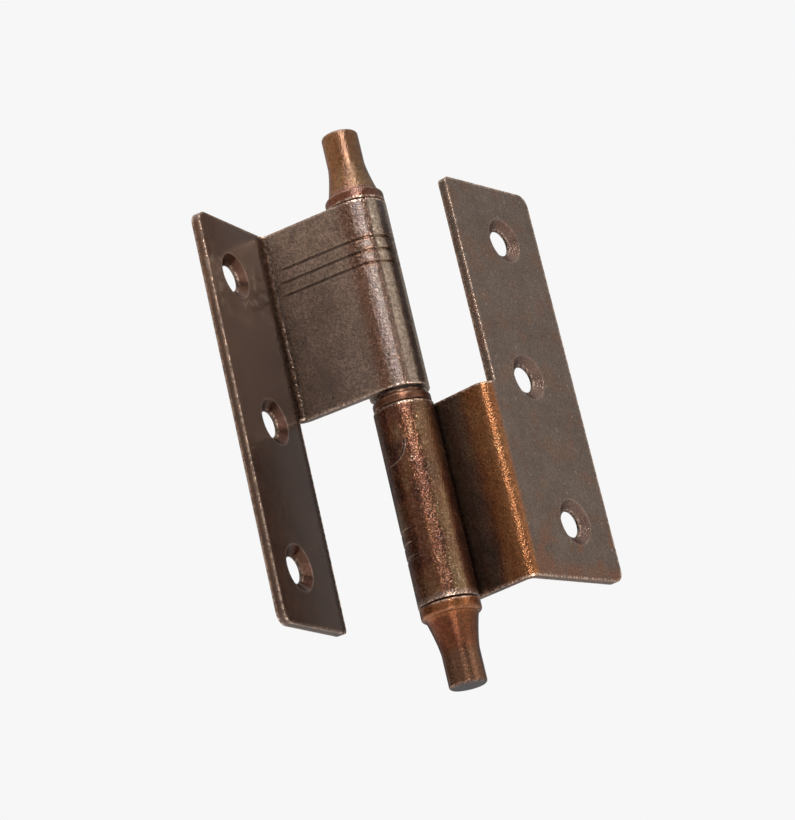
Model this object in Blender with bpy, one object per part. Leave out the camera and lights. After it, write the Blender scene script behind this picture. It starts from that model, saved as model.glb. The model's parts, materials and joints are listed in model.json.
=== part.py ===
"""Lift-off cabinet hinge with two cranked leaves, a standing pin and turned finials.

Both leaves are folded from one thickness of steel sheet. Each has a flange with three
countersunk holes, a right-angle crank, and a web whose outer half is rolled into a knuckle.
The lower knuckle holds the pin. The upper leaf drops over the pin onto a bearing washer,
swings round it, and lifts off. A turned finial is pressed into the outer end of each knuckle.

Metres, +Z up along the pin. The origin lies on the screw face of the lower leaf.
"""

import math

import bmesh
import bpy
from mathutils import Matrix

# Sheet and rolled knuckle, the same on both leaves.
SHEET = 0.0018
KNUCKLE_RADIUS = 0.00575
BEND_RADIUS = 0.0010
LEAF_HEIGHT = 0.0800
SEAM_GAP = 0.00020
EDGE_ROUNDING = 0.00030

# The webs differ in length, so the two knuckle-to-flange offsets differ too.
UPPER_WEB = 0.0181
LOWER_WEB = 0.0150
UPPER_FLANGE = 0.0232
LOWER_FLANGE = 0.0266

# The half of each flange without a web is cut off square just past the bend.
NOTCH_PAST_BEND = 0.00020
NOTCH_FILLET = 0.0005
FREE_CORNER_RADIUS = 0.0024
CUT_CORNER_RADIUS = 0.0011
# How much higher the lower leaf stands than the upper one.
LEAF_STAGGER = 0.00105

# Countersunk screw holes, two near the ends and one nearer the bend at half height.
HOLE_RADIUS = 0.0026
COUNTERSINK_RADIUS = 0.0045
COUNTERSINK_DEPTH = 0.0014
HOLE_FROM_END = 0.0113
UPPER_HOLE_FROM_BEND = 0.0139
UPPER_MIDDLE_HOLE_FROM_BEND = 0.0110
LOWER_HOLE_FROM_BEND = 0.0157
LOWER_MIDDLE_HOLE_FROM_BEND = 0.0124

# Pressed lines across each web and round its knuckle.
GROOVE_COUNT = 3
GROOVE_PITCH = 0.00260
GROOVE_WIDTH = 0.00066
GROOVE_FLOOR = 0.00020
GROOVE_DEPTH = 0.00026
GROOVE_FROM_BEND = 0.0012
GROOVE_WRAP = math.radians(184)
UPPER_GROOVE_FROM_END = 0.0079
LOWER_GROOVE_FROM_END = 0.0091

# Running and seating clearance between separate pieces.
FIT_GAP = 0.0003

# Bearing washer: a ring that shows between the knuckles, with a narrower raised face.
# How far its rim stands inside the knuckle's outside, and the wall of the raised face.
WASHER_INSET = 0.00020
WASHER_THICKNESS = 0.0016
WASHER_ROUNDING = 0.00035
BEARING_FACE_WALL = 0.00075
BEARING_FACE_HEIGHT = 0.00085

# Turned finial. Its collar stands this far inside the knuckle's outside.
COLLAR_INSET = 0.00007
COLLAR_HEIGHT = 0.0023
COLLAR_ROUNDING = 0.00065
SHOULDER_STEP = 0.0009
SHOULDER_HEIGHT = 0.0029
WAIST_RADIUS = 0.00356
WAIST_HEIGHT = 0.0090
FINIAL_HEIGHT = 0.0155
FINIAL_END_ROUNDING = 0.0006
TAPER_HOLLOW = 1.35
SPIGOT_LENGTH = 0.0062
SPIGOT_CHAMFER = 0.0004
COLLAR_EDGE = 0.00012

# Pin.
PIN_CHAMFER = 0.0008
PIN_END_ROOM = 0.0008

# Angle from the lower leaf to the upper one in the pose that is modelled.
REST_ANGLE = math.radians(192.2)
# The origin is this far from the lower leaf's bend, on its screw face.
ORIGIN_FROM_BEND = 0.0050

KNUCKLE_STEPS = 34
BEND_STEPS = 5
ROUND_STEPS = 40
CORNER_STEPS = 6

# Worked out from the sizes above.
BORE_RADIUS = KNUCKLE_RADIUS - SHEET
PIN_RADIUS = BORE_RADIUS - FIT_GAP
WASHER_RADIUS = KNUCKLE_RADIUS - WASHER_INSET
BEARING_FACE_RADIUS = BORE_RADIUS + BEARING_FACE_WALL
COLLAR_RADIUS = KNUCKLE_RADIUS - COLLAR_INSET
SHOULDER_RADIUS = COLLAR_RADIUS - SHOULDER_STEP
BEARING_STACK = FIT_GAP + WASHER_THICKNESS + BEARING_FACE_HEIGHT + FIT_GAP
KNUCKLE_LENGTH = (LEAF_HEIGHT - LEAF_STAGGER - BEARING_STACK) / 2
LOWER_BOTTOM = -LEAF_HEIGHT / 2
LOWER_KNUCKLE_TOP = LOWER_BOTTOM + KNUCKLE_LENGTH
UPPER_TOP = LEAF_HEIGHT / 2 - LEAF_STAGGER
UPPER_KNUCKLE_BOTTOM = UPPER_TOP - KNUCKLE_LENGTH
UPPER_BOTTOM = UPPER_TOP - LEAF_HEIGHT
AXIS_X = -(KNUCKLE_RADIUS + ORIGIN_FROM_BEND)
AXIS_Y = LOWER_WEB


def clear_scene():
    for obj in list(bpy.data.objects):
        bpy.data.objects.remove(obj, do_unlink=True)


def material(name, colour, roughness, metallic):
    made = bpy.data.materials.new(name)
    made.use_nodes = True
    shader = made.node_tree.nodes["Principled BSDF"]
    shader.inputs["Base Color"].default_value = (*colour, 1)
    shader.inputs["Roughness"].default_value = roughness
    shader.inputs["Metallic"].default_value = metallic
    return made


def add_object(name, mesh_builder, finish, parent, turn=0.0):
    """A named object from a bmesh, turned about the pin's axis under its parent."""
    mesh = bpy.data.meshes.new(name)
    mesh_builder.to_mesh(mesh)
    mesh_builder.free()
    obj = bpy.data.objects.new(name, mesh)
    bpy.context.scene.collection.objects.link(obj)
    obj.parent = parent
    obj.rotation_euler.z = turn
    if finish is None:
        obj.hide_render = True
        obj.display_type = "WIRE"
    else:
        mesh.materials.append(finish)
        mesh.shade_smooth()
        mesh.set_sharp_from_angle(angle=math.radians(30))
    return obj


def add_empty(name, location=(0, 0, 0), turn=0.0, parent=None):
    empty = bpy.data.objects.new(name, None)
    bpy.context.scene.collection.objects.link(empty)
    empty.location = location
    empty.rotation_euler.z = turn
    empty.parent = parent
    return empty


def arc(centre, radius, start, end, steps):
    """Points on an arc, both ends included."""
    angles = [start + (end - start) * i / steps for i in range(steps + 1)]
    return [(centre[0] + radius * math.cos(a), centre[1] + radius * math.sin(a)) for a in angles]


def smooth_step(value):
    value = min(max(value, 0.0), 1.0)
    return value * value * (3 - 2 * value)


def sheet_side(web, flange, depth, groove=0.0):
    """One face of the folded sheet in section, from the seam to the flange's free edge.

    The section lies with the pin's axis at the origin and the web along +X. depth is 0 on
    the grooved face and SHEET on the other, and groove sinks the knuckle and the web.
    """
    seam_angle = math.acos((BORE_RADIUS - SEAM_GAP) / KNUCKLE_RADIUS)
    curl_end = math.radians(90) + 2 * math.pi - seam_angle
    points = []
    for i in range(KNUCKLE_STEPS + 1):
        angle = curl_end + (math.radians(90) - curl_end) * i / KNUCKLE_STEPS
        past_tangent = angle - math.radians(90)
        fade = smooth_step((GROOVE_WRAP - past_tangent) / math.radians(25) + 0.5)
        radius = KNUCKLE_RADIUS - depth - groove * fade
        points.append((radius * math.cos(angle), radius * math.sin(angle)))
    bend_start = web - BEND_RADIUS
    groove_end = web - GROOVE_FROM_BEND
    points.append((groove_end * 0.5, KNUCKLE_RADIUS - depth - groove))
    points.append((groove_end - 2 * GROOVE_WIDTH, KNUCKLE_RADIUS - depth - groove))
    points.append((groove_end, KNUCKLE_RADIUS - depth))
    bend_centre = (bend_start, KNUCKLE_RADIUS + BEND_RADIUS)
    points += arc(bend_centre, BEND_RADIUS + depth, math.radians(-90), 0, BEND_STEPS)
    points.append((web + depth, KNUCKLE_RADIUS + flange))
    return points


def leaf_solid(web, flange, bottom, groove_heights):
    """The folded sheet over the leaf's whole height, with its grooves pressed in."""
    levels = [(bottom, 0.0), (bottom + LEAF_HEIGHT, 0.0)]
    for height in groove_heights:
        levels += [(height - GROOVE_WIDTH / 2, 0.0), (height - GROOVE_FLOOR / 2, GROOVE_DEPTH)]
        levels += [(height + GROOVE_FLOOR / 2, GROOVE_DEPTH), (height + GROOVE_WIDTH / 2, 0.0)]
    build = bmesh.new()
    rings = []
    for height, groove in sorted(levels):
        outline = sheet_side(web, flange, 0.0, groove) + sheet_side(web, flange, SHEET)[::-1]
        rings.append([build.verts.new((x, y, height)) for x, y in outline])
    for low, high in zip(rings, rings[1:]):
        for i in range(len(low)):
            j = (i + 1) % len(low)
            build.faces.new((low[i], high[i], high[j], low[j]))
    build.faces.new(rings[0])
    build.faces.new(rings[-1][::-1])
    bmesh.ops.recalc_face_normals(build, faces=build.faces)
    free_edge = KNUCKLE_RADIUS + flange
    ends = (bottom, bottom + LEAF_HEIGHT)
    corners = [e for e in build.edges if is_free_corner(e, free_edge, web, ends)]
    bmesh.ops.bevel(
        build, geom=corners, offset=FREE_CORNER_RADIUS, segments=CORNER_STEPS, profile=0.5, affect="EDGES"
    )
    bmesh.ops.dissolve_limit(
        build, angle_limit=math.radians(0.05), use_dissolve_boundaries=False, verts=build.verts, edges=build.edges
    )
    return build


def is_free_corner(edge, free_edge, web, ends):
    """True for the two short edges through the sheet at the ends of the free edge."""
    places = [v.co for v in edge.verts]
    across = abs(places[0].x - places[1].x) > SHEET / 2
    on_edge = all(abs(p.y - free_edge) < SHEET / 10 and p.x > web - SHEET / 10 for p in places)
    at_end = any(all(abs(p.z - end) < SHEET / 10 for p in places) for end in ends)
    return across and on_edge and at_end


def extruded(outline, x_start, x_end):
    """A prism along X from a closed outline in Y and Z."""
    build = bmesh.new()
    near = [build.verts.new((x_start, y, z)) for y, z in outline]
    far = [build.verts.new((x_end, y, z)) for y, z in outline]
    for i in range(len(near)):
        j = (i + 1) % len(near)
        build.faces.new((near[i], near[j], far[j], far[i]))
    build.faces.new(near)
    build.faces.new(far[::-1])
    bmesh.ops.recalc_face_normals(build, faces=build.faces)
    return build


def notch_cutter(web, end_height, knuckle_height, direction):
    """Removes knuckle, web and bend from one half. direction is 1 if the notch is at the top."""
    cut_line = KNUCKLE_RADIUS + BEND_RADIUS + NOTCH_PAST_BEND
    outside = -2 * KNUCKLE_RADIUS
    beyond = end_height + direction * SHEET
    corner_y = cut_line + CUT_CORNER_RADIUS
    corner_z = end_height - direction * CUT_CORNER_RADIUS
    outline = [(outside, beyond), (corner_y, beyond)]
    for i in range(CORNER_STEPS + 1):
        angle = math.radians(90) * i / CORNER_STEPS
        y = corner_y - CUT_CORNER_RADIUS * math.sin(angle)
        z = corner_z + direction * CUT_CORNER_RADIUS * math.cos(angle)
        outline.append((y, z))
    fillet_y = cut_line - NOTCH_FILLET
    fillet_z = knuckle_height + direction * NOTCH_FILLET
    for i in range(CORNER_STEPS + 1):
        angle = math.radians(90) * i / CORNER_STEPS
        y = fillet_y + NOTCH_FILLET * math.cos(angle)
        z = fillet_z - direction * NOTCH_FILLET * math.sin(angle)
        outline.append((y, z))
    outline.append((outside, knuckle_height))
    return extruded(outline, -2 * KNUCKLE_RADIUS, web + 2 * SHEET)


def turned(profile, steps=ROUND_STEPS):
    """A solid of revolution about Z. profile runs from the bottom to the top as (radius, height)."""
    build = bmesh.new()
    rings = []
    for radius, height in profile:
        if radius <= 0:
            rings.append([build.verts.new((0, 0, height))])
            continue
        circle = [2 * math.pi * i / steps for i in range(steps)]
        rings.append([build.verts.new((radius * math.cos(a), radius * math.sin(a), height)) for a in circle])
    for low, high in zip(rings, rings[1:]):
        for i in range(steps):
            j = (i + 1) % steps
            if len(low) == 1:
                build.faces.new((low[0], high[j], high[i]))
            elif len(high) == 1:
                build.faces.new((low[i], low[j], high[0]))
            else:
                build.faces.new((low[i], low[j], high[j], high[i]))
    if len(rings[0]) > 1:
        build.faces.new(rings[0][::-1])
    if len(rings[-1]) > 1:
        build.faces.new(rings[-1])
    return build


def screw_hole_cutter(web, from_bend, height, countersunk_inside):
    """A countersunk hole through the flange. Its cone opens towards the knuckle if countersunk_inside."""
    margin = SHEET
    slope = (COUNTERSINK_RADIUS - HOLE_RADIUS) / COUNTERSINK_DEPTH
    profile = [
        (HOLE_RADIUS, -SHEET - margin),
        (HOLE_RADIUS, -COUNTERSINK_DEPTH),
        (COUNTERSINK_RADIUS + margin * slope, margin),
    ]
    build = turned(profile, 32)
    turn = math.radians(-90 if countersunk_inside else 90)
    face = web if countersunk_inside else web + SHEET
    place = Matrix.Translation((face, KNUCKLE_RADIUS + from_bend, height)) @ Matrix.Rotation(turn, 4, "Y")
    bmesh.ops.transform(build, matrix=place, verts=build.verts)
    return build


def cut(obj, cutter, name):
    modifier = obj.modifiers.new(name, "BOOLEAN")
    modifier.operation = "DIFFERENCE"
    modifier.solver = "EXACT"
    modifier.object = cutter


def round_edges(obj):
    """Tumbling before plating rounds every square edge of the sheet. The countersinks stay crisp."""
    modifier = obj.modifiers.new("rounded edges", "BEVEL")
    modifier.width = EDGE_ROUNDING
    modifier.segments = 3
    modifier.limit_method = "ANGLE"
    modifier.angle_limit = math.radians(60)
    modifier.use_clamp_overlap = True


def make_leaf(name, web, flange, knuckle_up, hole_from_bend, middle_from_bend, groove_from_end, parent, turn, finish):
    """A leaf with its knuckle in the upper half if knuckle_up, else in the lower half."""
    direction = 1 if knuckle_up else -1
    bottom = UPPER_BOTTOM if knuckle_up else LOWER_BOTTOM
    knuckle_end = bottom + LEAF_HEIGHT if knuckle_up else bottom
    notch_end = bottom if knuckle_up else bottom + LEAF_HEIGHT
    knuckle_inner = knuckle_end - direction * KNUCKLE_LENGTH
    grooves = [knuckle_end - direction * (groove_from_end + i * GROOVE_PITCH) for i in range(GROOVE_COUNT)]
    leaf = add_object(name, leaf_solid(web, flange, bottom, grooves), finish, parent, turn)
    notch = add_object(
        name + "_notch", notch_cutter(web, notch_end, knuckle_inner, -direction), None, parent, turn
    )
    cut(leaf, notch, "notch")
    middle = bottom + LEAF_HEIGHT / 2
    reach = LEAF_HEIGHT / 2 - HOLE_FROM_END
    places = [(hole_from_bend, middle + reach), (middle_from_bend, middle), (hole_from_bend, middle - reach)]
    for number, (from_bend, height) in enumerate(places, 1):
        cutter = screw_hole_cutter(web, from_bend, height, countersunk_inside=knuckle_up)
        hole = add_object(f"{name}_hole_{number}", cutter, None, parent, turn)
        cut(leaf, hole, f"screw hole {number}")
    round_edges(leaf)
    return leaf


def finial_profile():
    """From the spigot's end to the tip, with the collar's seat at height 0."""
    waist_drop = SHOULDER_RADIUS - WAIST_RADIUS
    profile = [
        (PIN_RADIUS - SPIGOT_CHAMFER, -SPIGOT_LENGTH),
        (PIN_RADIUS, -SPIGOT_LENGTH + SPIGOT_CHAMFER),
        (PIN_RADIUS, 0),
        (COLLAR_RADIUS - COLLAR_EDGE, 0),
        (COLLAR_RADIUS, COLLAR_EDGE),
    ]
    rounding_centre = (COLLAR_RADIUS - COLLAR_ROUNDING, COLLAR_HEIGHT - COLLAR_ROUNDING)
    profile += arc(rounding_centre, COLLAR_ROUNDING, 0, math.radians(90), 4)
    steps = 7
    for i in range(steps + 1):
        share = i / steps
        radius = WAIST_RADIUS + waist_drop * (1 - share) ** TAPER_HOLLOW
        profile.append((radius, SHOULDER_HEIGHT + (WAIST_HEIGHT - SHOULDER_HEIGHT) * share))
    end_centre = (WAIST_RADIUS - FINIAL_END_ROUNDING, FINIAL_HEIGHT - FINIAL_END_ROUNDING)
    profile += arc(end_centre, FINIAL_END_ROUNDING, 0, math.radians(90), 5)
    return profile


def washer_profile():
    """The section of the washer's ring as a closed loop of (radius, height), from its seat at 0."""
    inner = BORE_RADIUS
    outer = WASHER_RADIUS - WASHER_ROUNDING
    low = arc((outer, WASHER_ROUNDING), WASHER_ROUNDING, math.radians(-90), 0, 4)
    high = arc((outer, WASHER_THICKNESS - WASHER_ROUNDING), WASHER_ROUNDING, 0, math.radians(90), 4)
    top = WASHER_THICKNESS + BEARING_FACE_HEIGHT
    step = [(BEARING_FACE_RADIUS, WASHER_THICKNESS), (BEARING_FACE_RADIUS, top)]
    return [(inner, 0)] + low + high + step + [(inner, top)]


def ring(profile):
    """A ring turned from a closed section that stays clear of the axis."""
    build = bmesh.new()
    loops = []
    for i in range(ROUND_STEPS):
        angle = 2 * math.pi * i / ROUND_STEPS
        loops.append([build.verts.new((r * math.cos(angle), r * math.sin(angle), z)) for r, z in profile])
    for i in range(ROUND_STEPS):
        here, there = loops[i], loops[(i + 1) % ROUND_STEPS]
        for k in range(len(profile)):
            m = (k + 1) % len(profile)
            build.faces.new((here[k], there[k], there[m], here[m]))
    bmesh.ops.recalc_face_normals(build, faces=build.faces)
    return build


def moved(build, height, upside_down=False):
    """The same solid raised to height, turned over first if it points down."""
    place = Matrix.Translation((0, 0, height))
    if upside_down:
        place = place @ Matrix.Rotation(math.pi, 4, "X")
    bmesh.ops.transform(build, matrix=place, verts=build.verts)
    return build


def pin_profile():
    bottom = LOWER_BOTTOM - FIT_GAP + SPIGOT_LENGTH + PIN_END_ROOM
    top = UPPER_TOP + FIT_GAP - SPIGOT_LENGTH - PIN_END_ROOM
    return [
        (PIN_RADIUS - SPIGOT_CHAMFER, bottom),
        (PIN_RADIUS, bottom + SPIGOT_CHAMFER),
        (PIN_RADIUS, top - 1.5 * PIN_CHAMFER),
        (PIN_RADIUS - 0.4 * PIN_CHAMFER, top - 0.5 * PIN_CHAMFER),
        (PIN_RADIUS - PIN_CHAMFER, top),
    ]


def build_hinge():
    clear_scene()
    upper_steel = material("antique plated steel, dark", (0.10, 0.075, 0.06), 0.42, 0.9)
    lower_steel = material("antique plated steel, warm", (0.19, 0.12, 0.08), 0.42, 0.9)
    copper = material("antique copper, turned", (0.42, 0.17, 0.08), 0.28, 1.0)
    bright_steel = material("plain steel", (0.45, 0.44, 0.42), 0.3, 1.0)

    axis = add_empty("hinge_axis", (AXIS_X, AXIS_Y, 0))
    swing = add_empty("swing", turn=REST_ANGLE, parent=axis)
    lift_off = add_empty("lift_off", parent=swing)
    web_turn = math.radians(-90)

    make_leaf(
        "lower_leaf", LOWER_WEB, LOWER_FLANGE, False, LOWER_HOLE_FROM_BEND, LOWER_MIDDLE_HOLE_FROM_BEND,
        LOWER_GROOVE_FROM_END, axis, web_turn, lower_steel,
    )
    make_leaf(
        "upper_leaf", UPPER_WEB, UPPER_FLANGE, True, UPPER_HOLE_FROM_BEND, UPPER_MIDDLE_HOLE_FROM_BEND,
        UPPER_GROOVE_FROM_END, lift_off, web_turn, upper_steel,
    )
    add_object("hinge_pin", turned(pin_profile()), bright_steel, axis)
    washer_seat = LOWER_KNUCKLE_TOP + FIT_GAP
    add_object("bearing_washer", moved(ring(washer_profile()), washer_seat), copper, swing)
    lower = moved(turned(finial_profile()), LOWER_BOTTOM - FIT_GAP, upside_down=True)
    add_object("lower_finial", lower, copper, axis)
    upper = moved(turned(finial_profile()), UPPER_TOP + FIT_GAP)
    add_object("upper_finial", upper, copper, lift_off)


build_hinge()
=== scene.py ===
# %% [markdown]
# # An antique-copper lift-off hinge
# The hinge has two leaves folded from steel sheet, a pin, a washer and two turned finials.
# The solids come from the CAD model. This lesson gives them the plated, worn finish of the
# real ones, sets up the studio, and puts the camera where the photographer stood.

# %% Load the frame
import json
import math

import bpy
import numpy as np
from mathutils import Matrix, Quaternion, Vector

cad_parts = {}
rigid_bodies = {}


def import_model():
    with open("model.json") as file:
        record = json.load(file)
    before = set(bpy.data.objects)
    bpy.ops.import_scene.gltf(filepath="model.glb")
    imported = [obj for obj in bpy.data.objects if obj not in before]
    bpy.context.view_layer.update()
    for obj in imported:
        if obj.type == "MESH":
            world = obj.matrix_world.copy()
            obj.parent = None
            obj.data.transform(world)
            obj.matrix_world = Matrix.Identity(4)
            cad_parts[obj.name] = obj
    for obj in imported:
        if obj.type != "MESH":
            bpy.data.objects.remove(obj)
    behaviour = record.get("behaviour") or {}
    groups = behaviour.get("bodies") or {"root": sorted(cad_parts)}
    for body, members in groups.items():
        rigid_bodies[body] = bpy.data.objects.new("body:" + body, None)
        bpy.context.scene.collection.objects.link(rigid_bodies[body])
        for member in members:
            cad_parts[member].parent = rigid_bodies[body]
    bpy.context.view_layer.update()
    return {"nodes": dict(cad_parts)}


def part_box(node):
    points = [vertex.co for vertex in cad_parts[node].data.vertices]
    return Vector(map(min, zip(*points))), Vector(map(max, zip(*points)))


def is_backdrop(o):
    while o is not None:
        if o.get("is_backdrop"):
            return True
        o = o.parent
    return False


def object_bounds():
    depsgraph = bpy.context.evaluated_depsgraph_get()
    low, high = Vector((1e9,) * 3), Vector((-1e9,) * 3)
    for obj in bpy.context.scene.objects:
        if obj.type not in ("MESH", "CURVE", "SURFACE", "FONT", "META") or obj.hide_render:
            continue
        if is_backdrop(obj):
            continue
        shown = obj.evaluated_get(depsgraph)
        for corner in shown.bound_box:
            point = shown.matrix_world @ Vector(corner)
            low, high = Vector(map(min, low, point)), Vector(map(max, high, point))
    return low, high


MM = 0.001

for old in list(bpy.data.objects):
    bpy.data.objects.remove(old, do_unlink=True)

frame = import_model()
solids = frame["nodes"]
print("solids:", sorted(solids))

# %% [markdown]
# ## Where the parts are
# The pin's axis is worked out from the frame itself: it runs through the middle of the
# round bearing washer. Each leaf's web starts at the knuckle and runs off at an angle of
# its own, and the finishes are drawn in that leaf's own directions. The screw holes are
# given by their distances from the bend: first the outer two's, then the middle one's.

# %% Find the pin's axis and name the sizes that the finishes need
washer_low, washer_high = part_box("bearing_washer")
pin_axis = (washer_low + washer_high) / 2
knuckle_radius = 5.75 * MM
sheet = 1.8 * MM
lower_web, upper_web = 15.0 * MM, 18.1 * MM
lower_turn, upper_turn = math.radians(-90.0), math.radians(102.2)
lower_middle, upper_middle = 0.0, -1.05 * MM
lower_screws, upper_screws = (15.7 * MM, 12.4 * MM), (13.9 * MM, 11.0 * MM)
screw_spread = 28.7 * MM
upper_grooves, groove_pitch = 28.45 * MM, 2.6 * MM
lower_seat, upper_seat = -40.3 * MM, 39.25 * MM
print("pin axis at", [round(c / MM, 2) for c in pin_axis])

# %% [markdown]
# ## The camera
# The photograph was taken from below the knuckle gap, with the pin leaning in the picture.
# A camera is easiest to place by the point it looks at, its distance, two angles round
# that point, and a roll about its own line of sight. The long lens keeps edges parallel.
# The lamps are placed in the same way further on.

# %% Place the camera
def direction(azimuth, elevation):
    """The way to a point at azimuth, in degrees from -Y towards +X, and at elevation."""
    a, e = math.radians(azimuth), math.radians(elevation)
    return Vector((math.sin(a) * math.cos(e), -math.cos(a) * math.cos(e), math.sin(e)))


def stand(thing, aim, away, distance, roll):
    """Adds thing to the scene at distance from aim in the direction away. It faces aim and
    is rolled by degrees about its own line of sight."""
    bpy.context.scene.collection.objects.link(thing)
    thing.location = aim + away * distance
    thing.rotation_mode = "QUATERNION"
    turn = Quaternion((0, 0, 1), math.radians(roll))
    thing.rotation_quaternion = (-away).to_track_quat("-Z", "Y") @ turn


optics = bpy.data.cameras.new("photo camera")
optics.lens = 119.67
optics.sensor_width = 36.0
optics.clip_start, optics.clip_end = 0.01, 20.0
camera = bpy.data.objects.new("photo camera", optics)
stand(
    camera,
    aim=Vector((-0.01112, 0.01611, -0.00168)),
    away=direction(azimuth=-53.107, elevation=-17.718),
    distance=0.50783,
    roll=-13.241,
)
bpy.context.scene.camera = camera
print("camera at", [round(c, 3) for c in camera.location])

# %% [markdown]
# ## Sums on sockets
# A finish is a small calculation over the surface. Wrapping a socket in a class lets that
# calculation be written as a sum, and each sign in it adds one Math node.

# %% A socket that can be reckoned with
class Wire:
    """One output socket of a finish. Plain arithmetic on it adds Math nodes."""

    def __init__(self, finish, socket):
        self.finish = finish
        self.socket = socket

    def maths(self, operation, *others, first=None, clamp=False):
        sockets = {i + 1: other for i, other in enumerate(others)}
        sockets[0] = self
        if first is not None:
            sockets = {0: first, 1: self}
        return self.finish.node("Math", {"operation": operation, "use_clamp": clamp}, sockets)

    def __add__(self, other):
        return self.maths("ADD", other)

    __radd__ = __add__

    def __sub__(self, other):
        return self.maths("SUBTRACT", other)

    def __rsub__(self, other):
        return self.maths("SUBTRACT", first=other)

    def __mul__(self, other):
        return self.maths("MULTIPLY", other)

    __rmul__ = __mul__

    def __pow__(self, other):
        return self.maths("POWER", other)

    def __abs__(self):
        return self.maths("ABSOLUTE")

    def clamped(self):
        return self.maths("ADD", 0.0, clamp=True)

    def smallest(self, other):
        return self.maths("MINIMUM", other)

    def largest(self, other):
        return self.maths("MAXIMUM", other)

    def ease(self, low, high):
        """0 below low, 1 above high and a smooth step between; low may be the larger."""
        settings = {"interpolation_type": "SMOOTHSTEP"}
        if low < high:
            sockets = {"Value": self, "From Min": low, "From Max": high}
            return self.finish.node("MapRange", settings, sockets)
        sockets = {"Value": self, "From Min": high, "From Max": low, "To Min": 1.0, "To Max": 0.0}
        return self.finish.node("MapRange", settings, sockets)

    def between(self, start, full, fading, end):
        """A band: 1 from full to fading, 0 outside start and end, smooth steps between."""
        return self.ease(start, full) * self.ease(end, fading)


def length(a, b):
    """How long a step is that goes a one way and b square to it."""
    return (a * a + b * b) ** 0.5


# %% A finish, which makes the nodes of a material or of the world
class Finish:
    """node() makes any node from its type, its settings and the values of its sockets."""

    def __init__(self, owner):
        owner.use_nodes = True
        self.owner = owner
        self.tree = owner.node_tree
        self.tree.nodes.clear()

    def node(self, kind, settings=None, sockets=None, output=0):
        made = self.tree.nodes.new("ShaderNode" + kind)
        for key, value in (settings or {}).items():
            if key == "stops":
                ramp = made.color_ramp
                for i, (place, shade) in enumerate(value):
                    stop = ramp.elements[i] if i < 2 else ramp.elements.new(place)
                    stop.position = place
                    stop.color = (*shade, 1.0)
            else:
                setattr(made, key, value)
        for key, value in (sockets or {}).items():
            if isinstance(value, Wire):
                self.tree.links.new(value.socket, made.inputs[key])
            elif isinstance(value, tuple) and len(value) == 3 and made.inputs[key].type == "RGBA":
                made.inputs[key].default_value = (*value, 1.0)
            else:
                made.inputs[key].default_value = value
        return Wire(self, made.outputs[output]) if len(made.outputs) else None

    def mix(self, share, one, other, blend="MIX"):
        """Colour one where share is 0 and other where it is 1. The node keeps its colours
        at inputs 6 and 7 and at output 2."""
        settings = {"data_type": "RGBA", "blend_type": blend}
        return self.node("Mix", settings, {0: share, 6: one, 7: other}, output=2)

    def scaled(self, colour, amount):
        """A colour made lighter or darker by a number or a wire."""
        return self.node("VectorMath", {"operation": "SCALE"}, {0: colour, "Scale": amount})

    def place(self, centre=(0, 0, 0), turn=0.0, stretch=(1, 1, 1)):
        """Object coordinates seen from centre, turned about Z, and divided by stretch."""
        here = self.node("TexCoord", output="Object")
        sockets = {"Vector": here, "Location": centre, "Rotation": (0, 0, turn), "Scale": stretch}
        return self.node("Mapping", {"vector_type": "TEXTURE"}, sockets)

    def axes(self, point):
        """The three coordinates of a point, as wires."""
        split = self.node("SeparateXYZ", {}, {0: point})
        return [Wire(self, split.socket.node.outputs[i]) for i in range(3)]

    def noise(self, point, size, detail, roughness, distortion=0.0):
        """Clouds whose blobs are about size metres across, between 0 and 1."""
        sockets = {
            "Vector": point,
            "Scale": 1.0 / size,
            "Detail": detail,
            "Roughness": roughness,
            "Distortion": distortion,
        }
        return self.node("TexNoise", {}, sockets)

    def ramp(self, value, stops):
        """A colour ramp from pairs of a place and a colour."""
        return self.node("ValToRGB", {"stops": stops}, {"Fac": value})

    def surface(self, **sockets):
        """Joins a Principled shader to the output and returns the material. Names of
        sockets use _ for a space."""
        named = {key.replace("_", " "): value for key, value in sockets.items()}
        shader = self.node("BsdfPrincipled", {}, named)
        self.node("OutputMaterial", {}, {"Surface": shader})
        return self.owner


def new_finish(name):
    return Finish(bpy.data.materials.new(name))


# %% [markdown]
# ## Smooth faces on the solids
# The CAD solids arrive as loose flat triangles. On the real hinge the knuckles are round
# and every edge is slightly rolled, so the triangles are joined again, neighbours within
# a shallow angle are shaded as one surface, and the leaves' large flats are given the say
# over the narrow chamfers, which makes a chamfer look like a rounded edge.

# %% Join and smooth the solids' triangles
JOIN_WITHIN = 0.002 * MM
SMOOTH_BELOW = math.radians(33)
SAY_OF_FLATS = 90


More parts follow.
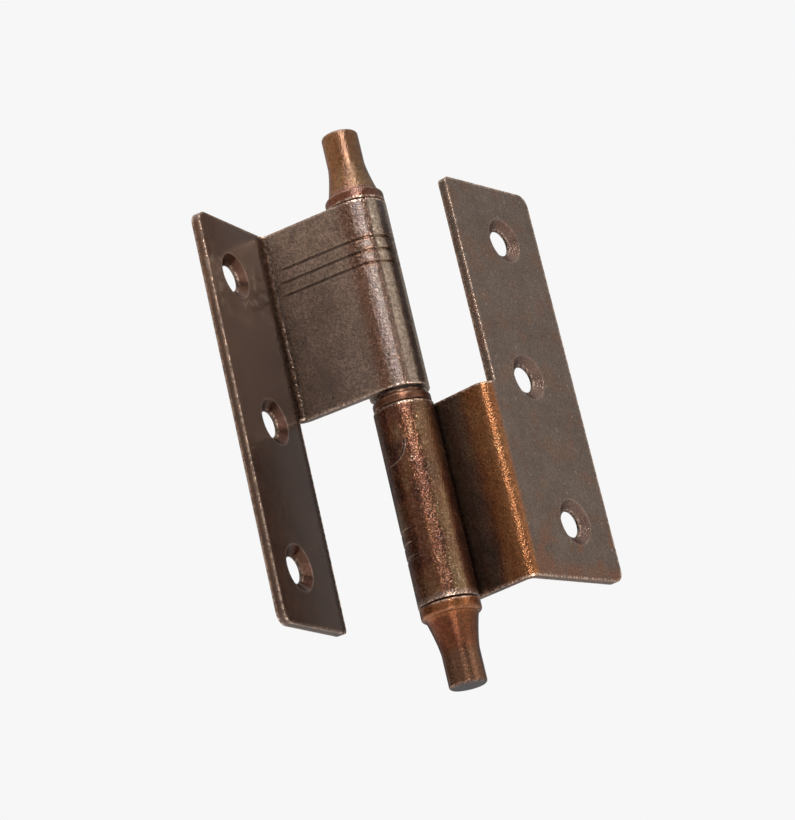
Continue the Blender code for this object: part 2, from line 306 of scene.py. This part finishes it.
def smooth_nodes():
    """Merges loose corners and shades smooth across every edge flatter than the limit."""
    group = bpy.data.node_groups.new("join and smooth", "GeometryNodeTree")
    group.interface.new_socket("Geometry", in_out="INPUT", socket_type="NodeSocketGeometry")
    group.interface.new_socket("Geometry", in_out="OUTPUT", socket_type="NodeSocketGeometry")
    nodes, links = group.nodes, group.links
    source, result = nodes.new("NodeGroupInput"), nodes.new("NodeGroupOutput")
    merge = nodes.new("GeometryNodeMergeByDistance")
    merge.inputs["Distance"].default_value = JOIN_WITHIN
    angle = nodes.new("GeometryNodeInputMeshEdgeAngle")
    flat = nodes.new("FunctionNodeCompare")
    flat.operation = "LESS_THAN"
    flat.inputs[1].default_value = SMOOTH_BELOW
    edges = nodes.new("GeometryNodeSetShadeSmooth")
    edges.domain = "EDGE"
    faces = nodes.new("GeometryNodeSetShadeSmooth")
    links.new(source.outputs[0], merge.inputs["Geometry"])
    links.new(angle.outputs["Unsigned Angle"], flat.inputs[0])
    links.new(merge.outputs[0], faces.inputs["Geometry"])
    links.new(faces.outputs[0], edges.inputs["Geometry"])
    links.new(flat.outputs[0], edges.inputs["Shade Smooth"])
    links.new(edges.outputs[0], result.inputs[0])
    return group


joined = smooth_nodes()
for name, solid in solids.items():
    join = solid.modifiers.new("join and smooth", "NODES")
    join.node_group = joined
    if name.endswith("leaf"):
        weigh = solid.modifiers.new("flats lead", "WEIGHTED_NORMAL")
        weigh.keep_sharp = True
        weigh.weight = SAY_OF_FLATS
print("smoothed", len(solids), "solids")

# %% [markdown]
# ## Antique copper plating
# The steel is copper plated, darkened in a bath, tumbled and lacquered. The dark layer is
# an oxide, so it is only partly metal: its brown shows in any light, and its lacquer adds
# a paler shine. It stays in grooves and corners, and bare copper shows on every ridge that
# rubs. The plating is grainy at a few tenths of a millimetre, which breaks each highlight
# into sparkles. Ridges and hollows are found by looking inwards and outwards from the
# surface: at a ridge the metal soon ends, in a hollow it soon begins.

# %% Ridges and hollows
BRIGHT_COPPER = (0.88, 0.63, 0.48)
BARE_GRAINS = (0.6, 0.48, 0.4)
# The darkest colour serves both the oxide in hollows and painted shade.
OXIDE_AND_PAINTED_SHADE = (0.022, 0.012, 0.008)


def open_space(paint, inside, reach):
    """1 where a ray finds nothing within reach, inside or outside the metal, and less where
    the surface is near."""
    settings = {"inside": inside, "only_local": True, "samples": 8}
    return paint.node("AmbientOcclusion", settings, {"Distance": reach}, output="AO")


def ridges(paint):
    """1 on ridges that stand out, 0 on flats and in hollows."""
    return open_space(paint, inside=True, reach=0.75 * MM).ease(0.93, 0.6)


def hollows(paint):
    """1 in grooves and inner corners, 0 on flats and ridges."""
    return open_space(paint, inside=False, reach=0.9 * MM).ease(0.95, 0.5)


# %% The plated finish that all the pieces share
UNCHANGED = {
    "painted_shade": 0.0,  # where painted shade darkens the surface
    "kept": 1.0,  # how much of the rubbing takes place
    "coarse": 1.0,  # how much stronger the grain is
    "relief": 0.0,  # heights added to the grain's
    "worn": 0.0,  # where the tops of the grains are bare
    "matt": 0.0,  # roughness to add
    "bare": 0.0,  # metal to add
}


def plated(
    name,
    tones,
    grain_height,
    roughness,
    metal,
    index=1.5,
    wear=0.8,
    speckle=0.4,
    recolour=None,
):
    """A plated finish. tones runs from the darkest colour to the lightest. The higher the
    index, the more white light the glassy layer throws back. recolour may take the finish,
    its coordinates and the colour, and return a new colour and changes to UNCHANGED."""
    paint = new_finish(name)
    here = paint.place()
    clouds = paint.noise(here, 7 * MM, 4.0, 0.55)
    blotches = paint.noise(here, 1.6 * MM, 3.0, 0.6)
    blobs = paint.noise(here, 0.6 * MM, 2.0, 0.55).ease(0.25, 0.75)
    specks = paint.noise(here, 0.3 * MM, 1.0, 0.5).ease(0.25, 0.75)
    beads = paint.noise(here, 0.5 * MM, 1.0, 0.5).ease(0.4, 0.6)
    grain = blobs * 0.55 + specks * 0.45
    depth = clouds * 0.55 + blotches * 0.45
    places = np.linspace(0.36, 0.64, len(tones)).tolist()
    colour = paint.ramp(depth, list(zip(places, tones)))
    change = dict(UNCHANGED)
    if recolour:
        colour, changes = recolour(paint, here, colour)
        change.update(changes)
    # dark is the oxide left in hollows together with the painted shade that recolour asks for.
    dark = hollows(paint).largest(change["painted_shade"] * (1.0 - beads * 0.4))
    rubbed = (ridges(paint) * (0.15 + beads) * wear * change["kept"]).clamped()
    colour = paint.scaled(colour, 1.0 + (grain - 0.5) * change["coarse"] * (2.0 * speckle))
    colour = paint.mix(grain.ease(0.55, 0.9) * change["worn"], colour, BARE_GRAINS)
    colour = paint.mix(dark * 0.8, colour, OXIDE_AND_PAINTED_SHADE)
    colour = paint.mix(rubbed, colour, BRIGHT_COPPER)
    rough = roughness + (blotches - 0.5) * 0.16 + (0.5 - grain) * 0.08 + dark * 0.12 + change["matt"]
    height = grain * change["coarse"] + change["relief"]
    bump = paint.node("Bump", {}, {"Height": height, "Distance": grain_height, "Strength": 1.0})
    return paint.surface(
        Base_Color=colour,
        Roughness=rough,
        Metallic=metal + rubbed.largest(dark) * (1.0 - metal) + change["bare"],
        IOR=index,
        Normal=bump,
    )


# %% [markdown]
# ## The two leaves
# The leaves came out of the bath differently. The upper one is grey brown, and its knuckle
# is redder, with painted reflection bands and a band of painted shade along it. The lower one
# is taupe on its flange, but its web and knuckle stayed orange and red brown, with streaks that
# run along the knuckle, painted reflection and painted shade in bands along the roll, and
# painted shade on the web beside the knuckle. The masks use the leaf's own directions: x runs
# along the web from the pin, y across it, and z up.

# %% The leaves' own directions and their screw holes
RUBBED_RIM = (0.4, 0.27, 0.21)
DARK_THROAT = (0.03, 0.018, 0.014)


def leaf_axes(paint, turn):
    """x along the web from the pin, y across it and z up, for a leaf turned about the pin."""
    return paint.axes(paint.place(centre=(pin_axis.x, pin_axis.y, 0.0), turn=turn))


def screw_distance(y, z, from_bend, middle):
    """How far a point is from the axis of the nearest screw hole. The two outer holes share
    one distance from the bend, so their height is folded about the middle of the leaf."""
    outer_line, middle_line = [knuckle_radius + far for far in from_bend]
    outer = length(y - outer_line, abs(z - middle) - screw_spread)
    return outer.smallest(length(y - middle_line, z - middle))


def tinted_screws(paint, colour, distance, sunk, tone):
    """Reddish cones and a thin rubbed ring round each on the sunk side, and a dark ring at
    the hole on both. Returns the colour, where the cones are, and where rubbing shows."""
    cone = distance.ease(4.6 * MM, 4.3 * MM) * sunk
    rim = distance.between(4.25 * MM, 4.5 * MM, 4.6 * MM, 4.85 * MM) * sunk
    throat = distance.ease(3.05 * MM, 2.65 * MM)
    colour = paint.mix(cone * 0.6, colour, tone)
    colour = paint.mix(rim * 0.2, colour, RUBBED_RIM)
    return paint.mix(throat * 0.8, colour, DARK_THROAT), cone, 1.0 - throat * 0.8


# %% The upper leaf
UPPER_SHADES = {
    "low web": (0.6, 0.53, 0.46),
    "roll": (0.105, 0.042, 0.023),
    "streaks": (0.13, 0.082, 0.046),
    "red": (0.165, 0.075, 0.042),
    "brown": (0.08, 0.04, 0.024),
    "olive": (0.36, 0.26, 0.17),
    "dark": (0.075, 0.035, 0.018),
    "flange": (0.68, 0.5, 0.36),
    "cones": (0.12, 0.055, 0.038),
    "dents": (0.2, 0.14, 0.1),
}


def upper_tones(paint, here, colour):
    """Darker on the flange and low on the web. A painted shadow darkens the inside of the bend
    most. The roll is redder, with olive streaks. Along it run painted reflection bands: a red
    one, then away from the web a brown and an olive one, and the lips of its grooves get the
    painted red too. Past them a dark band is painted shade. The flange has slow dents, which
    get a painted paler sheen beside the top hole."""
    x, y, z = leaf_axes(paint, upper_turn)
    past_bend, past_web = x - upper_web, y - knuckle_radius
    shades = UPPER_SHADES
    low = z.ease(34 * MM, 4 * MM) * x.ease(4 * MM, 11 * MM)
    colour = paint.mix(low * 0.9, colour, shades["low web"], "MULTIPLY")

    rolled = x.ease(3.0 * MM, 0.0)
    colour = paint.mix(rolled * 0.8, colour, shades["roll"])
    stretched = paint.place(centre=(0.0, 0.0, 0.02), stretch=(1, 1, 9))
    streaks = paint.noise(stretched, 1.7 * MM, 3.0, 0.55)
    colour = paint.mix(rolled * streaks.ease(0.5, 0.6) * 0.5, colour, shades["streaks"])
    # The red, brown and olive bands along the roll, with the red on the groove lips, are painted
    # reflections.
    front = y.ease(0.0, 1.0 * MM)
    from_middle = abs(z - upper_grooves)
    from_groove = from_middle.smallest(abs(from_middle - groove_pitch))
    lips = from_groove.ease(0.95 * MM, 0.5 * MM) * x.ease(0.0, -1.0 * MM)
    red = (x.between(-1.8 * MM, -1.0 * MM, 0.0, 1.5 * MM) * front).largest(lips * 0.8)
    colour = paint.mix(red * 0.9, colour, shades["red"])
    brown = x.between(-4.5 * MM, -4.1 * MM, -3.6 * MM, -3.2 * MM) * front
    colour = paint.mix(brown * 0.9, colour, shades["brown"])
    far = x.ease(-3.0 * MM, -4.2 * MM)
    olive = far * y.ease(4.1 * MM, 3.5 * MM) * (0.6 + streaks.ease(0.4, 0.6) * 0.4)
    colour = paint.mix(olive, colour, shades["olive"])
    # The dark band on the far side of the roll is painted shade, and the shared painted-shade mix
    # darkens it further.
    painted_far_shade = far * y.between(-0.6 * MM, 0.8 * MM, 1.6 * MM, 2.7 * MM)
    colour = paint.mix(painted_far_shade, colour, shades["dark"])

    flange = past_bend.ease(-0.9 * MM, 0.1 * MM)
    colour = paint.mix(flange, colour, shades["flange"], "MULTIPLY")
    distance = screw_distance(y, z, upper_screws, upper_middle)
    sunk = past_bend.ease(1.7 * MM, 1.4 * MM)
    colour, cone, kept = tinted_screws(paint, colour, distance, sunk, shades["cones"])
    # Along the inside of the bend a painted shadow darkens the surface.
    inner = past_bend.ease(1.2 * MM, 0.6 * MM)
    bend = past_bend.ease(-1.3 * MM, -0.8 * MM) * inner
    bend = bend * past_web.between(-0.9 * MM, -0.3 * MM, 1.4 * MM, 3.6 * MM)
    beads = paint.noise(here, 0.45 * MM, 1.0, 0.5).ease(0.45, 0.58) * z.ease(27 * MM, 18 * MM)
    # The slow dents are real bumps; beside the top hole they also get a painted paler sheen.
    dents = flange * paint.noise(here, 3.5 * MM, 1.0, 0.5, 1.0)
    painted_sheen_by_hole = past_web.ease(2.0 * MM, 4.0 * MM) * inner * distance.ease(4.6 * MM, 5.4 * MM)
    painted_sheen_by_hole = painted_sheen_by_hole * abs(z - 25 * MM).ease(8 * MM, 4 * MM)
    colour = paint.mix(dents.ease(0.5, 0.62) * painted_sheen_by_hole * 0.6, colour, shades["dents"])
    return colour, {
        "painted_shade": (bend * 0.9).largest(painted_far_shade * 0.5),
        "kept": kept,
        "coarse": 1.0 - flange * 0.65,
        "relief": dents * 0.8,
        "worn": x.ease(2.0 * MM, 0.0) * 0.12,
        "matt": bend * (1.0 - beads) * 0.5,
        "bare": (red * 0.45).largest(brown * 0.5).largest(cone * 0.6).largest(flange * 0.12),
    }


# %% The lower leaf
WARM_STOPS = [
    (0.36, (0.055, 0.015, 0.006)),
    (0.46, (0.12, 0.037, 0.015)),
    (0.54, (0.155, 0.06, 0.023)),
    (0.62, (0.165, 0.09, 0.041)),
]
LOWER_SHADES = {
    "orange": (0.26, 0.1, 0.034),
    "painted_knuckle_shade": (0.058, 0.047, 0.037),
    "olive": (0.2, 0.12, 0.056),
    "brown": (0.5, 0.42, 0.36),
    "lip": (0.36, 0.25, 0.19),
    "scratch": (0.035, 0.014, 0.011),
    "burr": (0.5, 0.35, 0.27),
    "reddish": (0.25, 0.105, 0.055),
    "specks": (0.4, 0.32, 0.27),
    "cones": (0.16, 0.085, 0.066),
}
ARC_ALONG, ARC_HEIGHT = -10.3 * MM, -9.3 * MM
ARC_RADIUS, BURR_RADIUS = 3.65 * MM, 3.95 * MM
RING_ALONG, RING_HEIGHT, RING_RADIUS = 4.5 * MM, -3.9 * MM, 0.4 * MM


def arc_scratch(paint, x, y, z, colour):
    """A quarter of a circle scratched into the roll, drawn on the roll laid flat: a dark
    groove with a pale burr outside it and a stain inside, and a small ring beside it.
    Returns the colour and where the groove is."""
    along = y.maths("ARCTAN2", x) * knuckle_radius - ARC_ALONG
    up = z - ARC_HEIGHT
    distance = length(along, up)
    part = along.ease(-1.6 * MM, 0.4 * MM) * up.ease(0.6 * MM, -0.6 * MM)
    part = part * x.ease(3.9 * MM, 3.4 * MM)
    groove = abs(distance - ARC_RADIUS).ease(0.26 * MM, 0.08 * MM) * part
    burr = abs(distance - BURR_RADIUS).ease(0.24 * MM, 0.06 * MM) * part
    stain = distance.ease(3.7 * MM, 2.6 * MM) * part
    from_ring = length(along - RING_ALONG, up - RING_HEIGHT) - RING_RADIUS
    ring = abs(from_ring).ease(0.24 * MM, 0.08 * MM)
    dark = (stain * 0.6).largest(groove * 0.95)
    colour = paint.mix(dark, colour, LOWER_SHADES["scratch"])
    return paint.mix((burr * 0.45).largest(ring * 0.4), colour, LOWER_SHADES["burr"]), groove


def lower_tones(paint, here, colour):
    """Orange and red brown on the web and the knuckle, with painted shade on the web beside the
    knuckle and painted light on its orange towards the bend. Along the roll run an olive band of
    painted reflection and a dark brown band of painted shade. The flange is taupe with reddish
    patches."""
    x, y, z = leaf_axes(paint, lower_turn)
    past_bend, past_web = x - lower_web, y - knuckle_radius
    shades = LOWER_SHADES
    streaks = paint.noise(paint.place(stretch=(1, 1, 4)), 2.6 * MM, 4.0, 0.6)
    patches = paint.noise(here, 4.5 * MM, 2.0, 0.5)
    warm = paint.ramp(streaks * 0.6 + patches * 0.4, WARM_STOPS)
    # Towards the bend the web turns orange: the copper's own tone, with painted light on it.
    orange = past_bend.ease(-6.0 * MM, -1.0 * MM)
    warm = paint.mix(orange * 0.65, warm, shades["orange"])
    # The web beside the knuckle gets a painted shade.
    web = (past_web + sheet).ease(-1.5 * MM, -0.3 * MM)
    painted_knuckle_shade = web * past_bend.ease(-2.5 * MM, -7.0 * MM)
    warm = paint.mix(painted_knuckle_shade * 0.8, warm, shades["painted_knuckle_shade"])

    # The olive band along the roll is a painted reflection, and the dark brown band after it is painted
    # shade.
    olive = x.between(4.3 * MM, 5.0 * MM, 6.0 * MM, 6.6 * MM) * y.ease(0.3 * MM, -1.3 * MM)
    warm = paint.mix(olive * (0.4 + streaks.ease(0.4, 0.6) * 0.5), warm, shades["olive"])
    brown = y.between(-4.9 * MM, -4.4 * MM, -3.6 * MM, -3.0 * MM) * x.ease(0.0, 1.0 * MM)
    brown = brown * (0.65 + z.ease(-18 * MM, -26 * MM) * 0.25)
    warm = paint.mix(brown, warm, shades["brown"], "MULTIPLY")
    lip = x.ease(6.4 * MM, 6.0 * MM) * z.ease(-38.6 * MM, -39.4 * MM)
    warm = paint.mix(lip * 0.5, warm, shades["lip"])
    warm, groove = arc_scratch(paint, x, y, z, warm)

    foot = z.ease(-36.0 * MM, -38.6 * MM) * (0.25 + streaks.ease(0.35, 0.6) * 0.5)
    lower_down = 0.3 + z.ease(-26 * MM, -38 * MM) * 0.4
    reddish = (patches.ease(0.5, 0.62) * lower_down).largest(foot)
    taupe = paint.mix(reddish, colour, shades["reddish"])
    specks = paint.noise(here, 0.9 * MM, 0.0, 0.0).ease(0.74, 0.8)
    taupe = paint.mix(specks * 0.5, taupe, shades["specks"])
    flange = past_web.ease(-0.1 * MM, 1.2 * MM)
    colour = paint.mix(flange, warm, taupe)
    distance = screw_distance(y, z, lower_screws, lower_middle)
    sunk = past_bend.ease(0.1 * MM, 0.4 * MM)
    colour, _, kept = tinted_screws(paint, colour, distance, sunk, shades["cones"])
    roll = x.ease(6.6 * MM, 5.6 * MM)
    return colour, {
        "kept": kept,
        "coarse": 1.5 - flange * 0.5,
        "relief": groove * -2.5,
        "worn": roll * 0.1,
        "matt": roll * -0.04,
        "bare": roll * -0.05,
    }


# %% The leaves' finishes and the pin's
leaf_grey = [(0.106, 0.06, 0.037), (0.149, 0.09, 0.058), (0.187, 0.118, 0.08)]
leaf_taupe = [(0.155, 0.105, 0.078), (0.185, 0.13, 0.098), (0.215, 0.155, 0.12)]
steel = [(0.3, 0.3, 0.3), (0.45, 0.44, 0.42)]
finishes = {
    "upper_leaf": plated(
        "plating, grey brown",
        leaf_grey,
        grain_height=0.075 * MM,
        roughness=0.15,
        metal=0.3,
        index=1.85,
        speckle=0.6,
        recolour=upper_tones,
    ),
    "lower_leaf": plated(
        "plating, taupe and orange",
        leaf_taupe,
        grain_height=0.035 * MM,
        roughness=0.27,
        metal=0.85,
        index=1.65,
        speckle=0.25,
        recolour=lower_tones,
    ),
    "hinge_pin": plated(
        "plain steel",
        steel,
        grain_height=0.004 * MM,
        roughness=0.3,
        metal=1.0,
        wear=0.0,
        speckle=0.1,
    ),
}

# %% [markdown]
# ## The turned pieces
# A finial comes out of the bath in bands, because its steps hold the liquid for longer:
# another tone at the collar, streaks up the taper, and another again towards the end,
# whose flat disc is dark. Height above its seat on the knuckle is all that the bands need.
# The side towards the right of the camera's view is painted lighter, as painted light.

# %% Bands along a finial
END_DISC = (0.07, 0.048, 0.047)
RIGHT_X, RIGHT_Y = 0.6, -0.8


def turned_tones(seat, way, collar, streak, side, end):
    """Collar, streaks, the painted light on the right side, and end of a finial that stands at
    height seat and points way (1 or -1)."""

    def recolour(paint, here, colour):
        x, y, z = paint.axes(here)
        height = (z - seat) * way
        streaks = paint.noise(paint.place(stretch=(1, 1, 5)), 1.9 * MM, 3.0, 0.55)
        toward_painted_light = (x - pin_axis.x) * RIGHT_X + (y - pin_axis.y) * RIGHT_Y
        # The side to the right gets painted light: a lighter tone.
        colour = paint.mix(toward_painted_light.ease(-1.0 * MM, 1.5 * MM) * 0.6, colour, side)
        colour = paint.mix(streaks.ease(0.46, 0.6) * 0.5, colour, streak)
        colour = paint.mix(height.ease(7.5 * MM, 10.5 * MM) * 0.7, colour, end)
        colour = paint.mix(height.ease(15.0 * MM, 15.4 * MM) * 0.9, colour, END_DISC)
        colour = paint.mix(height.ease(3.0 * MM, 2.6 * MM) * 0.8, colour, collar)
        return colour, {}

    return recolour


finial_gold = [(0.1, 0.032, 0.01), (0.165, 0.062, 0.02), (0.22, 0.095, 0.035)]
finial_red = [(0.085, 0.02, 0.009), (0.145, 0.038, 0.017), (0.2, 0.065, 0.03)]
washer_red = [(0.09, 0.031, 0.014), (0.12, 0.045, 0.02), (0.15, 0.062, 0.03)]
upper_bands = turned_tones(
    upper_seat,
    way=1,
    collar=(0.11, 0.028, 0.014),
    streak=(0.18, 0.095, 0.034),
    side=(0.22, 0.12, 0.052),
    end=(0.175, 0.068, 0.024),
)
lower_bands = turned_tones(
    lower_seat,
    way=-1,
    collar=(0.28, 0.098, 0.034),
    streak=(0.2, 0.066, 0.024),
    side=(0.2, 0.075, 0.029),
    end=(0.17, 0.088, 0.05),
)
finishes["upper_finial"] = plated(
    "plating, turned upper",
    finial_gold,
    grain_height=0.045 * MM,
    roughness=0.15,
    metal=0.4,
    recolour=upper_bands,
)
finishes["lower_finial"] = plated(
    "plating, turned lower",
    finial_red,
    grain_height=0.03 * MM,
    roughness=0.18,
    metal=0.8,
    recolour=lower_bands,
)
finishes["bearing_washer"] = plated(
    "plating, washer",
    washer_red,
    grain_height=0.02 * MM,
    roughness=0.3,
    metal=0.7,
    wear=0.2,
)
for name, finish in finishes.items():
    solids[name].data.materials.clear()
    solids[name].data.materials.append(finish)
print("finished", len(finishes), "solids")

# %% [markdown]
# ## The studio
# A mirror-like surface shows whatever stands round it, so the studio is a ring of pale and
# darker card. The camera never sees the ring, only the reflections do. Where the photograph
# has a light stripe on a knuckle the ring is pale, and where it has a dark one it is dark.
# Each card is a list of places and tones: degrees round the ring, from the camera to the
# right, and how bright the card is there. Each row of the ring has a height and a card.

# %% A ring of card round the hinge
LOW_CARD = [
    (-180, 0.3), (-150, 0.5), (-120, 1.5), (-80, 1.0), (-40, 0.5), (-6, 0.6), (-1, 4.0),
    (8, 4.0), (16, 1.0), (60, 0.95), (100, 0.7), (150, 0.4), (180, 0.3),
]
MIDDLE_CARD = [
    (-180, 0.12), (-150, 0.12), (-131, 0.5), (-116, 0.14), (-88, 0.14), (-70, 0.22),
    (-56, 0.48), (-40, 0.55), (-20, 0.5), (-10, 0.5), (14, 0.5), (24, 0.25), (42, 0.3),
    (54, 1.8), (68, 1.8), (84, 0.9), (94, 0.75), (112, 0.72), (128, 0.25), (150, 0.3),
    (180, 0.3),
]
HIGH_CARD = [
    (-180, 0.3), (-131, 0.4), (-60, 0.3), (-20, 0.25), (-10, 0.5), (14, 0.5), (24, 0.3),
    (42, 0.35), (70, 0.4), (84, 0.5), (112, 0.6), (128, 0.3), (180, 0.3),
]
CARD_ROWS = [
    (-0.45, LOW_CARD),
    (-0.12, LOW_CARD),
    (-0.02, MIDDLE_CARD),
    (0.33, MIDDLE_CARD),
    (0.36, HIGH_CARD),
    (0.75, HIGH_CARD),
]
STUDIO_AZIMUTH = -53.1
PALE = (0.93, 0.93, 0.93)


def card_ring(radius, rows, steps):
    """The ring's corners, faces and tones. A corner is at radius * (sin a, -cos a), for an
    azimuth a that goes once round in steps, at the height of each row. Its tone is read
    from the row's card."""
    heights, cards = zip(*rows)
    turns = np.linspace(-180.0, 180.0, steps + 1)[:-1]
    a, h = np.meshgrid(np.radians(turns + STUDIO_AZIMUTH), heights)
    corners = np.stack([pin_axis.x + radius * np.sin(a), pin_axis.y - radius * np.cos(a), h], -1)
    i = np.arange(steps)
    j = np.roll(i, -1)
    band = np.stack([i, j, j + steps, i + steps], -1)
    faces = np.concatenate([band + steps * row for row in range(len(heights) - 1)])
    tones = [np.interp(turns, *zip(*card)) for card in cards]
    return corners.reshape(-1, 3).tolist(), faces.tolist(), np.concatenate(tones)


def add_stage(name, corners, faces, finish):
    mesh = bpy.data.meshes.new(name)
    mesh.from_pydata(corners, [], faces)
    stage = bpy.data.objects.new(name, mesh)
    bpy.context.scene.collection.objects.link(stage)
    mesh.materials.append(finish)
    stage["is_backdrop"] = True
    return stage


card = new_finish("card")
tone = card.node("Attribute", {"attribute_name": "tone"}, output="Fac")
glow = card.node("Emission", {}, {"Color": PALE, "Strength": tone})
card.node("OutputMaterial", {}, {"Surface": glow})
corners, faces, tones = card_ring(radius=0.75, rows=CARD_ROWS, steps=180)
ring = add_stage("card ring", corners, faces, card.owner)
ring.data.attributes.new("tone", "FLOAT", "POINT").data.foreach_set("value", tones)
for sight in ("camera", "diffuse", "transmission", "volume_scatter", "shadow"):
    setattr(ring, "visible_" + sight, False)

# %% [markdown]
# ## Floor, world and lamps
# The floor lies just under the lower finial. Its underside is clear, because the photograph
# looks up past it. Reflections don't show it, and from above it fades into the background
# some way off. The world is pale to the camera and in reflections, and dimmer as a source
# of light, so that the lamps still model the hinge.

# %% The floor
FLOOR_HALF = 3.0
FADE_FROM, FADE_TO = 0.1, 0.4
floor = new_finish("pale floor")
paper = floor.node("BsdfDiffuse", {}, {"Color": (0.86, 0.86, 0.86)})
clear = floor.node("BsdfTransparent", {}, {"Color": (1.0, 1.0, 1.0)})
underside = floor.node("NewGeometry", output="Backfacing")
mirrored = floor.node("LightPath", output="Is Glossy Ray")
across, along, _ = floor.axes(floor.place())
faded = length(across, along).ease(FADE_FROM, FADE_TO) * floor.node("LightPath", output="Is Camera Ray")
gone = underside.largest(mirrored).largest(faded)
surface = floor.node("MixShader", {}, {0: gone, 1: paper, 2: clear})
floor.node("OutputMaterial", {}, {"Surface": surface})
floor_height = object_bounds()[0].z - 0.5 * MM
square = [(-1, -1), (1, -1), (1, 1), (-1, 1)]
corners = [(FLOOR_HALF * x, FLOOR_HALF * y, floor_height) for x, y in square]
add_stage("floor", corners, [(0, 1, 2, 3)], floor.owner)

# %% The world
WORLD_LIGHT = 0.27
bpy.context.scene.world = bpy.data.worlds.new("studio")
world = Finish(bpy.context.scene.world)
seen = world.node("LightPath", output="Is Camera Ray")
mirrored = world.node("LightPath", output="Is Glossy Ray")
through = world.node("LightPath", output="Is Transmission Ray")
strength = WORLD_LIGHT + (1.0 - WORLD_LIGHT) * seen.largest(mirrored).largest(through)
background = world.node("Background", {}, {"Color": PALE, "Strength": strength})
world.node("OutputWorld", {}, {"Surface": background})


# %% The lamps
def add_lamp(name, azimuth, elevation, distance, size, power, glints=True, spreads=True, lean=0.0):
    """A soft box that faces the hinge, at azimuth from the camera to the right and at
    elevation. Its top leans to the right by lean degrees. It glints where it shows in
    reflections, and spreads where it lights matt surfaces."""
    data = bpy.data.lights.new(name, "AREA")
    data.shape = "RECTANGLE"
    data.size, data.size_y = size
    data.energy = power
    lamp = bpy.data.objects.new(name, data)
    stand(lamp, pin_axis, direction(azimuth + STUDIO_AZIMUTH, elevation), distance, roll=-lean)
    lamp.visible_glossy = glints
    lamp.visible_diffuse = spreads


add_lamp("key", 15, 30.5, 0.7, size=(0.09, 0.34), power=3.0, spreads=False, lean=35)
add_lamp("left fill", -70, 35, 0.9, size=(0.4, 0.4), power=7.5, glints=False)
add_lamp("back fill", 170, 30, 0.9, size=(0.5, 0.5), power=4.0, glints=False)
add_lamp("top", 10, 70, 0.8, size=(0.5, 0.5), power=4.0)
bpy.context.scene.view_settings.view_transform = "Standard"
